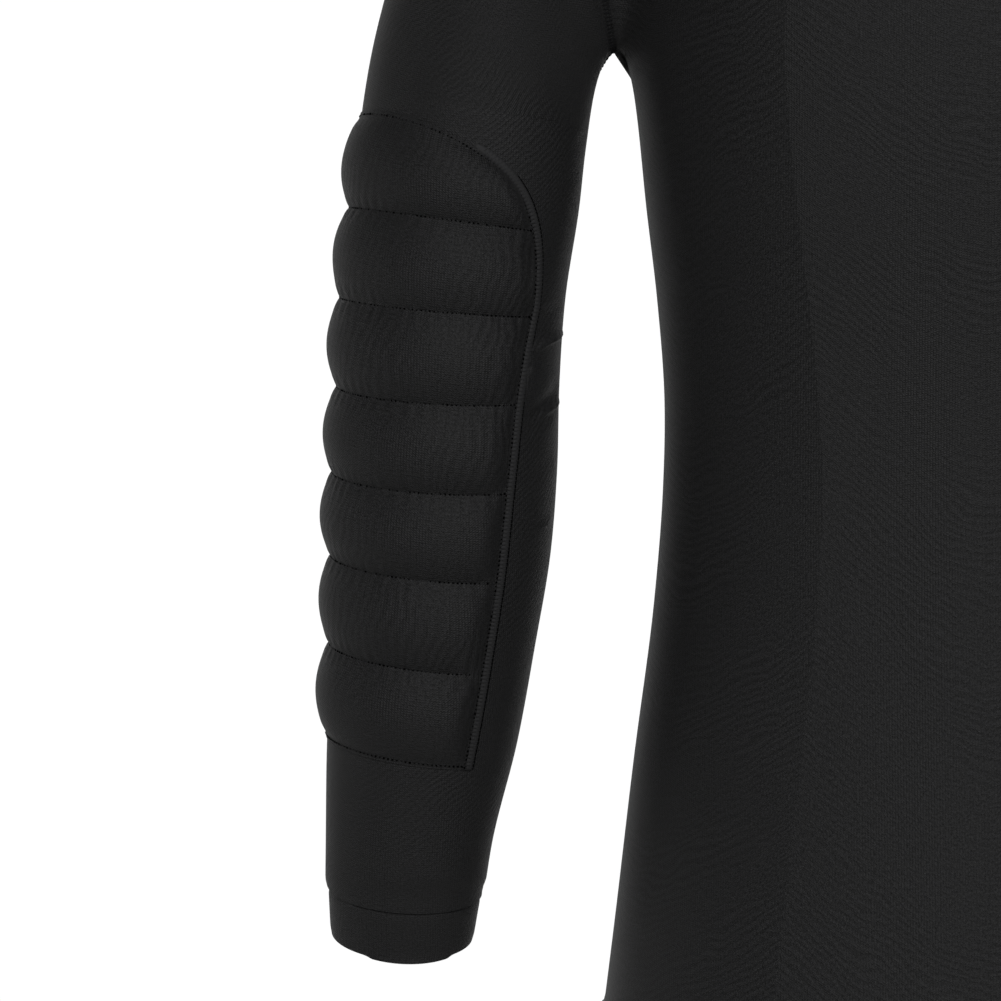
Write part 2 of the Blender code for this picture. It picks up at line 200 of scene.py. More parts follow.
# Flat seam: height of its band, and its threads as shares of its width or radius
SEAM_BAND_HEIGHT = 0.38
SEAM_ROW_LIFT = 0.45
SEAM_ROW_PLACE = 0.3
SEAM_SWING_PITCH = 2.4
SEAM_SWING = 0.28
SEAM_SWING_THREAD = 0.8
SEAM_SWING_LIFT = 0.5

# Turned hem: how far it stands out, the run of its step, and its two rows of longer stitches
HEM_RISE = 0.5
HEM_STEP = 0.8
HEM_ROWS_DROP = 3.0
HEM_ROW_LIFT = 0.85
HEM_ROW_PLACE = 2.0
HEM_STITCH = 1.2

# Sleeve creases. Columns: start angle, start height, end angle, end height, bow, width, rise
ARM_MM_PER_DEGREE = 0.91
SLEEVE_CREASES = np.array([
    (134.0, -377.0, 176.0, -365.5, 1.5, 2.0, 3.3),
    (138.0, -373.0, 135.0, -401.0, 0.0, 2.2, 1.9),
    (136.0, -366.0, 170.0, -352.0, 2.0, 4.0, -0.7),
    (132.0, -413.0, 172.0, -392.0, -2.0, 6.0, -3.1),
    (143.0, -410.0, 177.0, -398.0, 1.0, 2.0, 2.9),
    (136.0, -436.0, 166.0, -428.0, 1.0, 4.5, -0.7),
    (150.0, -460.0, 172.0, -454.0, 0.0, 1.5, 0.8),
    (202.0, -373.0, 246.0, -383.0, -3.0, 3.0, 1.0),
    (200.0, -391.0, 258.0, -394.0, 4.0, 5.0, -1.4),
    (202.0, -404.0, 240.0, -413.0, -2.0, 2.6, 0.9),
    (202.0, -436.0, 244.0, -430.0, 1.0, 4.0, -0.7),
    (150.0, -281.0, 176.0, -273.0, 2.0, 4.0, -0.5),
    (150.0, -300.0, 176.0, -292.0, 1.0, 3.0, 0.4),
    (205.0, -300.0, 262.0, -283.0, 3.0, 4.5, -0.8),
    (96.0, -604.0, 168.0, -612.0, -1.0, 4.0, 0.35),
    (205.0, -596.0, 290.0, -603.0, 2.0, 4.5, 0.4),
])

# Panel creases by the armhole. Columns: start across, start height, end across, end height, bow,
# width, rise
PANEL_CREASES = np.array([
    (160.0, -226.0, 116.0, -214.0, -3.0, 4.0, -0.8),
    (159.0, -240.0, 104.0, -240.0, -2.0, 2.4, 0.45),
    (158.0, -253.0, 96.0, -258.0, 2.0, 2.6, 0.5),
    (157.0, -266.0, 102.0, -276.0, 2.0, 2.4, 0.4),
    (156.0, -282.0, 108.0, -298.0, 3.0, 2.6, 0.35),
    (154.0, -300.0, 112.0, -322.0, 3.0, 3.0, 0.3),
    (150.0, -330.0, 112.0, -356.0, 3.0, 3.5, 0.25),
    (176.0, -190.0, 140.0, -160.0, -3.0, 6.0, -0.7),
    (150.0, -455.0, 60.0, -462.0, 5.0, 7.0, 0.3),
    (146.0, -425.0, 70.0, -418.0, -4.0, 8.0, -0.3),
])

# Rows down the sleeve, closest where the elbow creases are. Columns: row, height
SLEEVE_ROWS = np.array([(0, -262.0), (40, -348.0), (122, -430.0), (214, CUFF_SEAM)])

# Grid sizes, in steps
PATCH_STEPS = 8
SHOULDER_STEPS = 5
NECK_STEPS = 10
ARMHOLE_STEPS = 10
LOWER_ROWS = 150
SLEEVE_COLUMNS = 160
FAN_ROWS = 64
CUFF_ROWS = 12
BAND_ROWS = 10
PAD_COLUMNS = 150
CELL_ROWS = 26
MARCH = 2.0

# Flat cuts of the cloth pieces, across and along
CUFF_CUT = (0.20, 0.023)
NECKBAND_CUT = (0.38, 0.018)

# Knit as drawn. Sizes are in metres, and shares are of the relief or the tone
CLOUD_SIZE = 0.028
PATCH_SIZE = 0.07
RIPPLE_DRIFT = 26.0
LOOP_SHARE = 0.3
RIPPLE_SHARE = 0.3
SPECKLE_GAIN = 3.4
SPECKLE_START = -1.2
DARKEST = 0.45
LIGHTEST = 1.55
TWIST_SIZE = 0.0006

# Stage, in metres. Columns of the lights: name, place, target, width and height, power's setting
LIGHTS = (
    ("strip_light", (2.4, -0.9, -0.45), (0.25, 0.0, -0.45), (1.0, 1.8), "strip_power"),
    ("soft_box", (-0.2, 3.9, 1.2), (0.0, 0.0, -0.35), (0.8, 0.8), "soft_box_power"),
)
FLOOR_RADIUS = 2.6
WALL_FADE = (-0.64, -0.92)
WALL_STRENGTH = 1.02


def linear(hex_colour):
    """sRGB hex colour as linear red, green and blue."""
    parts = [int(hex_colour[i:i + 2], 16) / 255 for i in (1, 3, 5)]
    return tuple(c / 12.92 if c <= 0.04045 else ((c + 0.055) / 1.055) ** 2.4 for c in parts)


def smooth(low, high, value):
    """0 below low, 1 above high, and 3t^2 - 2t^3 between them."""
    t = np.clip((value - low) / (high - low), 0.0, 1.0)
    return t * t * (3 - 2 * t)


def vector(x, y, z):
    return np.stack(np.broadcast_arrays(x, y, z), axis=-1).astype(float)


def unit(vectors):
    return vectors / np.maximum(np.linalg.norm(vectors, axis=-1, keepdims=True), 1e-9)


# Form

def curve(table, at):
    """Smooth cubic through a table's rows at the given keys, its slopes taken from the neighbours."""
    keys, values = table[:, 0], table[:, 1:]
    slopes = np.gradient(values, keys, axis=0)
    at = np.clip(at, keys[0], keys[-1])
    row = np.clip(np.searchsorted(keys, at) - 1, 0, len(keys) - 2)
    step = (keys[row + 1] - keys[row])[..., None]
    t = (at - keys[row])[..., None] / step
    return ((1 + 2 * t) * (1 - t) ** 2 * values[row] + t * (1 - t) ** 2 * step * slopes[row]
            + t * t * (3 - 2 * t) * values[row + 1] + t * t * (t - 1) * step * slopes[row + 1])


def joined(first, second):
    """Smaller of two distances, rounded off over the blend where they are alike."""
    near = np.maximum(BLEND - np.abs(first - second), 0.0) / BLEND
    return np.minimum(first, second) - near * near * BLEND / 4


def radial(offsets, halves, power):
    """Distance, measured from the middle, to a superellipse or superellipsoid of these half sizes."""
    share = (np.abs(offsets / halves) ** power).sum(axis=-1) ** (1 / power)
    return np.linalg.norm(offsets, axis=-1) * (1 - 1 / np.maximum(share, 1e-6))


def torso(points):
    width, front, back = np.moveaxis(curve(TORSO, points[..., 2]), -1, 0)
    rise = np.maximum(points[..., 2] - TORSO[-1, 0], 0.0)
    offsets = np.stack([points[..., 0], points[..., 1], rise], axis=-1)
    depth = np.where(points[..., 1] > 0, back, front)
    halves = np.stack([width, depth, np.full_like(width, TORSO_DOME)], axis=-1)
    return radial(offsets, halves, TORSO_SQUARENESS)


def arm(points):
    across, back, width, depth = np.moveaxis(curve(ARM, points[..., 2]), -1, 0)
    rise = np.maximum(points[..., 2] - ARM[-1, 0], 0.0)
    offsets = np.stack([points[..., 0] - across, points[..., 1] - back, rise], axis=-1)
    halves = np.stack([width, depth, np.full_like(width, ARM_DOME)], axis=-1)
    return radial(offsets, halves, 2.0)


def round_ended(points, form):
    """Distance to a cone between two balls."""
    start, start_radius, end, end_radius = form
    axis = np.subtract(end, start)
    t = np.clip((points - start) @ axis / (axis @ axis), 0.0, 1.0)
    middle = start + t[..., None] * axis
    return np.linalg.norm(points - middle, axis=-1) - (start_radius + t * (end_radius - start_radius))


def body(points):
    """Signed distance, roughly, from the cloth's outer face: below zero inside. Both sides are alike."""
    points = np.stack([np.abs(points[..., 0]), points[..., 1], points[..., 2]], axis=-1)
    trunk = joined(joined(torso(points), arm(points)), round_ended(points, SHOULDER))
    return joined(trunk, round_ended(points, NECK))


def slope_of(points):
    """Change of the body's distance along each axis, from differences 0.5 mm either way."""
    steps = np.eye(3) * 0.5
    return np.stack([body(points + s) - body(points - s) for s in steps], axis=-1)


def outward(points):
    return unit(slope_of(points))


def onto_body(points, passes=12):
    """Points moved along the body's slope until they lie on its outer face."""
    for _ in range(passes):
        slope = slope_of(points)
        move = body(points)[..., None] * slope / np.maximum((slope ** 2).sum(-1, keepdims=True), 0.1)
        length = np.linalg.norm(move, axis=-1, keepdims=True)
        points = points - move * np.minimum(1.0, 10.0 / np.maximum(length, 1e-9))
    return points


def leave_body(start, direction, reach=260.0):
    """Where rays from inside first leave the body: a march in short steps, then halving."""
    direction = unit(direction)
    marks = np.arange(MARCH, reach, MARCH)
    outside = body(start[..., None, :] + marks[:, None] * direction[..., None, :]) > 0
    far = marks[np.argmax(outside, axis=-1)]
    near = far - MARCH
    for _ in range(16):
        middle = (near + far) / 2
        inside = body(start + middle[..., None] * direction) < 0
        near = np.where(inside, middle, near)
        far = np.where(inside, far, middle)
    return start + far[..., None] * direction


def sleeve_points(turn, height):
    """Points of the arm at angles from its outer side towards the back, in planes square to it."""
    middle = curve(ARM, height)
    drift = (curve(ARM, height + 5.0) - curve(ARM, height - 5.0)) / 10.0
    centre = vector(middle[..., 0], middle[..., 1], height)
    outer = unit(vector(1.0, 0.0, -drift[..., 0]))
    back = unit(vector(0.0, 1.0, -drift[..., 1]))
    angle = np.radians(turn)[..., None]
    return leave_body(centre, np.cos(angle) * outer + np.sin(angle) * back)


def half_turn(count, backwards):
    """Angles from the wearer's left side to the right one, over the back or the front."""
    return np.radians(np.linspace(0.0, 180.0, count)) * (1 if backwards else -1)


def level_ring(turn, height):
    """Points of the torso at one height, at angles about its upright middle line."""
    level = vector(np.cos(turn), np.sin(turn), 0.0 * turn)
    return leave_body(vector(0.0 * turn, SEAM_DEPTH, height), level)


def fan_points(turn, share):
    """Points of the shoulder in planes that fan about the underarm, from armhole to square sleeve."""
    lean = np.radians(ARMHOLE_LEAN + share * (SLEEVE_LEAN - ARMHOLE_LEAN))
    reach = ARMHOLE_REACH + share * (SLEEVE_REACH - ARMHOLE_REACH)
    outer = np.array([math.sin(lean), 0.0, math.cos(lean)])
    centre = np.array(ARMHOLE_PIVOT) + reach * outer + np.array([0.0, SLEEVE_SHIFT * share, 0.0])
    angle = np.radians(turn)[..., None]
    way = np.cos(angle) * outer + np.sin(angle) * np.array([0.0, 1.0, 0.0])
    return leave_body(np.broadcast_to(centre, way.shape), way)


# Grids on the form

def sampled(points, steps):
    """A smooth curve (Catmull-Rom) through points along their first axis, with steps to each gap."""
    ends = [2 * points[:1] - points[1:2], points, 2 * points[-1:] - points[-2:-1]]
    padded = np.concatenate(ends)
    place = np.arange((len(points) - 1) * steps + 1) / steps
    low = np.minimum(place.astype(int), len(points) - 2)
    t = (place - low).reshape((-1,) + (1,) * (points.ndim - 1))
    before, here, after, beyond = (padded[low + k] for k in range(4))
    return here + t / 2 * (after - before + t * (
        2 * before - 5 * here + 4 * after - beyond + t * (3 * (here - after) + beyond - before)))


def neckline(steps):
    """Ring where an upright oval tube meets the form, from the left shoulder seam over the back."""
    turn = np.radians(180.0 / (NECK_STEPS * steps) * np.arange(2 * NECK_STEPS * steps))
    depth = np.where(np.sin(turn) >= 0, NECK_DEPTH_BACK, NECK_DEPTH_FRONT)
    start = vector(NECK_HALF_WIDTH * np.cos(turn), SEAM_DEPTH + depth * np.sin(turn), NECK_INSIDE)
    return leave_body(start, vector(0.0 * turn, 0.0, 1.0))


def shoulder_seam(steps):
    """From the armhole's top to the neck, over the top of the shoulder."""
    tip = fan_points(np.zeros(1), 0.0)[0]
    across = np.linspace(tip[0], NECK_HALF_WIDTH, SHOULDER_STEPS * steps + 1)
    return leave_body(vector(across, SEAM_DEPTH, NECK_INSIDE), vector(0.0 * across, 0.0, 1.0))


def armhole_edge(backwards, steps):
    """Half of the armhole, from the underarm to the shoulder seam over the back or the front."""
    turn = np.linspace(180.0, 0.0 if backwards else 360.0, ARMHOLE_STEPS * steps + 1)
    return fan_points(turn, 0.0)


def patch_edges(backwards, steps):
    """Bottom, top and left edge of a panel above the underarm."""
    neck = neckline(steps)
    half = NECK_STEPS * steps
    ring = neck[:half + 1] if backwards else neck[-np.arange(half + 1)]
    seam = shoulder_seam(steps)
    top = np.concatenate([seam[:-1], ring, (seam * MIRROR)[-2::-1]])
    bottom = level_ring(half_turn(len(top), backwards), UNDERARM_HEIGHT)
    side = armhole_edge(backwards, steps)
    share = np.linspace(0.0, 1.0, steps + 1)[:-1, None]
    left = np.concatenate([bottom[0] + share * (side[0] - bottom[0]), side])
    return bottom, top, left


def eased(edge, passes=4):
    """Edge with its corners rounded off and its ends kept."""
    for _ in range(passes):
        edge = np.concatenate([edge[:1], (edge[:-2] + 2 * edge[1:-1] + edge[2:]) / 4, edge[-1:]])
    return edge


def patch(bottom, top, left, passes=6):
    """Grid between four edges: the usual blend of opposite edges, evened out and laid on the body."""
    right = left * MIRROR
    t = np.linspace(0.0, 1.0, len(left))[:, None, None]
    s = np.linspace(0.0, 1.0, len(bottom))[None, :, None]
    sides = (1 - s) * eased(left)[:, None] + s * eased(right)[:, None]
    ends = (1 - t) * bottom[None] + t * eased(top)[None]
    corners = ((1 - s) * (1 - t) * bottom[0] + s * (1 - t) * bottom[-1]
               + (1 - s) * t * top[0] + s * t * top[-1])
    grid = onto_body(sides + ends - corners)
    grid[0], grid[-1], grid[:, 0], grid[:, -1] = bottom, top, left, right
    for _ in range(passes):
        around = grid[:-2, 1:-1] + grid[2:, 1:-1] + grid[1:-1, :-2] + grid[1:-1, 2:]
        grid[1:-1, 1:-1] = onto_body((grid[1:-1, 1:-1] + around / 4) / 2)
    return grid


def panel_surface(backwards):
    """Front or back panel from hem to shoulder: level rings, then a patch up to the neckline."""
    coarse = patch(*patch_edges(backwards, 1))
    upper = sampled(sampled(coarse, PATCH_STEPS).swapaxes(0, 1), PATCH_STEPS).swapaxes(0, 1)
    upper = onto_body(upper, 4)
    bottom, top, left = patch_edges(backwards, PATCH_STEPS)
    upper[0], upper[-1], upper[:, 0], upper[:, -1] = bottom, top, left, left * MIRROR
    turn = half_turn(len(bottom), backwards)
    heights = np.linspace(HEM_HEIGHT, UNDERARM_HEIGHT, LOWER_ROWS + 1)[:-1]
    rings = [level_ring(turn, height) for height in heights]
    return np.concatenate([np.array(rings), upper])


def sleeve_surface():
    """Left sleeve: planes that fan from the armhole, then planes square to the arm.

    Its first column runs down the underarm seam, from the armhole's lowest point.
    """
    around = 360.0 / SLEEVE_COLUMNS * np.arange(SLEEVE_COLUMNS)
    rows = []
    for share in np.linspace(0.0, 1.0, FAN_ROWS + 1)[:-1]:
        seam = 180.0 + smooth(0.0, 1.0, share) * (SLEEVE_SEAM_ANGLE - 180.0)
        rows.append(fan_points(seam + around, share))
    for height in np.interp(np.arange(SLEEVE_ROWS[-1, 0] + 1), *SLEEVE_ROWS.T):
        rows.append(sleeve_points(SLEEVE_SEAM_ANGLE + around, np.full(SLEEVE_COLUMNS, height)))
    return np.array(rows)


def cuff_surface():
    """Left cuff: it starts inside the sleeve's wall, pinched by the seam, and narrows to its end."""
    around = SLEEVE_SEAM_ANGLE + 360.0 / SLEEVE_COLUMNS * np.arange(SLEEVE_COLUMNS)
    heights = np.linspace(CUFF_SEAM, CUFF_END, CUFF_ROWS + 1)
    rows = np.array([sleeve_points(around, np.full(SLEEVE_COLUMNS, h)) for h in heights])
    row = np.arange(CUFF_ROWS + 1)
    inset = CUFF_INSET + CUFF_TAPER * row / CUFF_ROWS + CUFF_PINCH * np.exp(-row ** 2)
    return rows - inset[:, None, None] * outward(rows)


def neckband_surface():
    """Rows that climb the neck from the neckline, square to it, in equal steps along the form."""
    rows = [neckline(PATCH_STEPS)]
    for _ in range(BAND_ROWS):
        along = np.roll(rows[-1], -1, axis=0) - np.roll(rows[-1], 1, axis=0)
        climb = unit(np.cross(outward(rows[-1]), along))
        rows.append(onto_body(rows[-1] + NECKBAND_HEIGHT / BAND_ROWS * climb, 4))
    return np.array(rows)


def pad_half_angle(distance):
    """Half the angle that the pad takes: an arch over its top, then the table."""
    share = np.clip(1 - distance / PAD_ARCH, 0.0, 1.0) ** PAD_ARCH_ROUNDNESS
    arch = PAD_SPREAD[0, 1] * (1 - share) ** (1 / PAD_ARCH_ROUNDNESS)
    return np.where(distance < PAD_ARCH, arch, curve(PAD_SPREAD, distance)[..., 0])


def pad_arch_distance(angle):
    """Distance of the arch below the pad's top at an angle from its middle."""
    share = np.clip(angle / PAD_SPREAD[0, 1], 0.0, 1.0) ** PAD_ARCH_ROUNDNESS
    return PAD_ARCH * (1 - (1 - share) ** (1 / PAD_ARCH_ROUNDNESS))


def pad_base():
    """Left pad's place on the sleeve: the grid, each row's cell and share of it, and cell heights."""
    across = np.linspace(-1.0, 1.0, PAD_COLUMNS + 1)
    first = CELL_HEIGHTS[0]
    arch = pad_arch_distance(np.abs(across) * pad_half_angle(np.array(PAD_SHOULDER)))
    ends = np.cumsum(CELL_HEIGHTS)
    rows, cells, shares, tall = [], [], [], []
    for row in range(len(CELL_HEIGHTS) * CELL_ROWS + 1):
        cell = min(row // CELL_ROWS, len(CELL_HEIGHTS) - 1)
        share = row / CELL_ROWS - cell
        if cell == 0:
            distance = arch + share * (first - arch)
            half = pad_half_angle(np.array(PAD_SHOULDER + share * (first - PAD_SHOULDER)))
            height = first - arch
        else:
            distance = np.full_like(across, ends[cell - 1] + share * CELL_HEIGHTS[cell])
            half = pad_half_angle(distance)
            height = np.full_like(across, CELL_HEIGHTS[cell])
        rows.append(sleeve_points(PAD_FACING + across * half, PAD_TOP - distance))
        cells.append(cell)
        shares.append(share)
        tall.append(height)
    return np.array(rows), np.array(cells), np.array(shares), np.array(tall)


def lengths_along(grid, axis):
    """Distance travelled along one axis of a grid of points, from its first point."""
    step = np.linalg.norm(np.diff(grid, axis=axis), axis=-1)
    start = np.zeros_like(np.take(step, [0], axis=axis))
    return np.concatenate([start, np.cumsum(step, axis=axis)], axis=axis)


def cut_places(grid, closed):
    """Places on the flat cloth, in metres: across from the middle column, and along from the last row."""
    wide = np.concatenate([grid, grid[:, :1]], axis=1) if closed else grid
    across = lengths_along(wide, 1)
    across = across - across[:, across.shape[1] // 2][:, None]
    along = lengths_along(wide, 0)
    return np.stack([across, along[-1:] - along], axis=-1) * MM


# Relief

def creases(across, height, table):
    """Sum of soft ridges: each follows a bowed line, is a bell across it and fades to both ends."""
    relief = np.zeros_like(height)
    for start_across, start_height, end_across, end_height, bow, width, rise in table:
        run, climb = end_across - start_across, end_height - start_height
        length = math.hypot(run, climb)
        t = ((across - start_across) * run + (height - start_height) * climb) / length ** 2
        inside = np.clip(t, 0.0, 1.0)
        aside = ((height - start_height) * run - (across - start_across) * climb) / length
        aside = aside - 4 * bow * inside * (1 - inside)
        fade = np.sin(np.pi * inside)
        relief += rise * fade * np.exp(-(aside / width) ** 2)
    return relief


def uneven(table, seed):
    """Like creases for another place: moved by a few millimetres, and a little deeper or softer."""
    random = np.random.default_rng(seed)
    other = table.copy()
    other[:, :4] += random.uniform(-4.0, 4.0, (len(table), 4))
    other[:, 6] *= random.uniform(0.7, 1.2, len(table))
    return other


def arm_places(points):
    """Distance round the arm from its outer side over the back, and height."""
    middle = curve(ARM, points[..., 2])
    angle = np.degrees(np.arctan2(points[..., 1] - middle[..., 1], points[..., 0] - middle[..., 0]))
    return ARM_MM_PER_DEGREE * (angle % 360.0), points[..., 2]


def on_arm(table):
    """A crease table with its angles turned to distances round the arm."""
    table = table.copy()
    table[:, [0, 2]] *= ARM_MM_PER_DEGREE
    return table


# Meshes

def quads(index):
    corners = [index[:-1, :-1], index[:-1, 1:], index[1:, 1:], index[1:, :-1]]
    return np.stack(corners, axis=-1).reshape(-1, 4)


def wall(name, outer, inner, closed, places, side):
    """Closed wall between two like grids, in metres, its rims joined and its places as a UV map."""
    rows, columns = outer.shape[:2]
    count = rows * columns
    points = np.concatenate([outer.reshape(-1, 3), inner.reshape(-1, 3)])
    points = points * np.array([side, 1.0, 1.0]) * MM
    wide = columns + 1 if closed else columns
    row, column = np.meshgrid(np.arange(rows), np.arange(wide), indexing="ij")
    corner = np.stack([row * columns + column % columns, row * wide + column])

    def rim(line):
        here, there = line[:, :-1], line[:, 1:]
        shift = np.array([[count], [0]])
        return np.stack([there, here, here + shift, there + shift], axis=-1)

    faces = [quads(c) for c in corner]
    inside = [faces[0][:, ::-1] + count, faces[1][:, ::-1]]
    rims = [rim(corner[:, 0]), rim(corner[:, -1][:, ::-1])]
    if not closed:
        rims += [rim(corner[:, ::-1, 0]), rim(corner[:, :, -1])]
    vertex = np.concatenate([faces[0], inside[0]] + [r[0] for r in rims])
    place = np.concatenate([faces[1], inside[1]] + [r[1] for r in rims])
    if side < 0:
        vertex, place = vertex[:, ::-1], place[:, ::-1]
    corners = points[vertex]
    volume = (corners[:, 0] * np.cross(corners[:, 1], corners[:, 2])).sum()
    if volume < 0:
        vertex, place = vertex[:, ::-1], place[:, ::-1]

    mesh = bpy.data.meshes.new(name)
    mesh.from_pydata(points.tolist(), [], vertex.tolist())
    layer = mesh.uv_layers.new(name="Cut")
    layer.data.foreach_set("uv", places.reshape(-1, 2)[place.ravel()].ravel())
    mesh.shade_smooth()
    mesh.set_sharp_from_angle(angle=math.radians(50.0))
    return mesh


def linked(name, data):
    """Object for a mesh, light or camera, linked to the scene."""
    made = bpy.data.objects.new(name, data)
    bpy.context.scene.collection.objects.link(made)
    return made


def placed(name, mesh, material, nodes=()):
    """Object for a finished mesh, riding on the frame and standing for the named solids."""
    mesh.materials.append(material)
    made = linked(name, mesh)
    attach(made, "root")
    if nodes:
        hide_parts(*nodes)
    return made


def cloth_piece(node, ending, base, outer, inner, closed, side, material):
    """Cloth between two grids that stands for a solid, its cut laid out as its UV map."""
    mesh = wall(node + ending, outer, inner, closed, cut_places(base, closed), side)
    return placed(node + ending, mesh, material, (node,))


# Sewing

def read_at(at, travelled, values):
    """Values read off at distances along a path."""
    return np.stack([np.interp(at, travelled, values[:, k]) for k in range(3)], axis=-1)


def path_frames(path, out, spacing, closed):
    """Points at equal spacing along a path, with the way along, the way aside and the way out."""
    if closed:
        path, out = np.concatenate([path, path[:1]]), np.concatenate([out, out[:1]])
    travelled = lengths_along(path, 0)
    count = max(int(round(travelled[-1] / spacing)), 2)
    if closed:
        at = travelled[-1] / count * np.arange(count)
    else:
        at = np.linspace(0.0, travelled[-1], count)
    middle, up = read_at(at, travelled, path), read_at(at, travelled, out)
    if closed:
        along = np.roll(middle, -1, axis=0) - np.roll(middle, 1, axis=0)
    else:
        along = np.gradient(middle, axis=0)
    along = unit(along)
    aside = unit(np.cross(up, along))
    return middle, along, aside, np.cross(along, aside)


def stitch_parts(path, out, length, radius, aside, lift, closed, gap=0.25, uneven=0.0):
    """Row of stitches beside a path: short five-sided threads that dip at both ends.

    Each is longer or shorter and thicker or thinner than the rest by up to the uneven share.
    """
    middle, along, across, up = path_frames(path, out, length, closed)
    middle = middle + aside * across + lift * up
    half = length * (1 - gap) / 2
    turn = np.radians(72.0 * np.arange(5))
    local = np.array([(half * x, radius * w * math.cos(a), radius * (w * math.sin(a) + rise))
                      for x, w, rise in STITCH_RINGS for a in turn])
    random = np.random.default_rng(len(middle))
    local = local * (1 + uneven * random.uniform(-1.0, 1.0, (len(middle), 1, 1)))
    points = (middle[:, None] + local[..., :1] * along[:, None]
              + local[..., 1:2] * across[:, None] + local[..., 2:] * up[:, None])
    index = np.arange(20).reshape(4, 5)
    face = quads(np.hstack([index, index[:, :1]])).tolist()
    face += [index[0, ::-1].tolist(), index[-1].tolist()]
    faces = [[c + 20 * k for c in f] for k in range(len(middle)) for f in face]
    return points.reshape(-1, 3), faces


def swept_parts(middle, across, up, profile, closed):
    """Closed profile, as pairs of aside and out, one for all or one each, carried along a path."""
    points = (middle[:, None] + profile[..., :1] * across[:, None]
              + profile[..., 1:] * up[:, None])
    rows, columns = points.shape[:2]
    index = np.arange(rows * columns).reshape(rows, columns)
    wide = np.hstack([index, index[:, :1]])
    if closed:
        wide = np.vstack([wide, wide[:1]])
    faces = quads(wide).tolist()
    if not closed:
        faces += [index[0, ::-1].tolist(), index[-1].tolist()]
    return points.reshape(-1, 3), faces


def zigzag_parts(path, out, pitch, amplitude, radius, lift, closed, aside=0.0):
    """Thread that swings from side to side of a path: a sine sampled four times a pitch."""
    middle, along, across, up = path_frames(path, out, pitch / 4, closed)
    count = len(middle) // 4 * 4
    middle, along, across, up = (v[:count] for v in (middle, along, across, up))
    swing = amplitude * np.sin(np.pi / 2 * np.arange(count))[:, None]
    thread = middle + (aside + swing) * across + lift * up
    turn = np.radians(72.0 * np.arange(5))
    profile = radius * np.stack([np.cos(turn), np.sin(turn)], axis=-1)
    return swept_parts(thread, across, up, profile, closed)


def tape_parts(path, out, width, height, closed, aside=0.0, taper=1.0):
    """Low rounded band that covers a joint, half sunk into the cloth. It starts narrow if tapered."""
    middle, along, across, up = path_frames(path, out, 2.0, closed)
    share = np.array(TAPE_SHARES)
    top = np.stack([share * width / 2, height * (1 - share ** 4)], axis=-1)
    low = np.array([(width / 2, -TAPE_SUNK), (-width / 2, -TAPE_SUNK)])
    grown = 1.0 if closed else smooth(-taper, taper, 2.0 * np.arange(len(middle)))[:, None, None]
    profile = grown * np.concatenate([top, low])
    return swept_parts(middle + aside * across, across, up, profile, closed)


def sewing_mesh(name, parts, side):
    """One mesh from many parts, in metres, its faces turned outwards."""
    shift, points, faces = 0, [], []
    for part_points, part_faces in parts:
        points.append(part_points)
        faces += [[c + shift for c in f] for f in part_faces]
        shift += len(part_points)
    points = np.concatenate(points) * np.array([side, 1.0, 1.0]) * MM
    mesh = bpy.data.meshes.new(name)
    mesh.from_pydata(points.tolist(), [], faces)
    shape = bmesh.new()
    shape.from_mesh(mesh)
    bmesh.ops.recalc_face_normals(shape, faces=shape.faces)
    shape.to_mesh(mesh)
    shape.free()
    mesh.shade_smooth()
    return mesh


# Materials

def fill(tree, node, inputs):
    """Fill a node's inputs with values or links."""
    for key, value in dict(inputs).items():
        if isinstance(value, bpy.types.NodeSocket):
            tree.links.new(value, node.inputs[key])
        else:
            node.inputs[key].default_value = value


def add(tree, kind, inputs=(), **settings):
    """Add a node, give it its settings, and fill its inputs."""
    made = tree.nodes.new(kind)
    for key, value in settings.items():
        setattr(made, key, value)
    fill(tree, made, inputs)
    return made


def new_material(name):
    """Material with its node tree and its shader."""
    material = bpy.data.materials.new(name)
    material.use_nodes = True
    return material, material.node_tree, material.node_tree.nodes["Principled BSDF"]


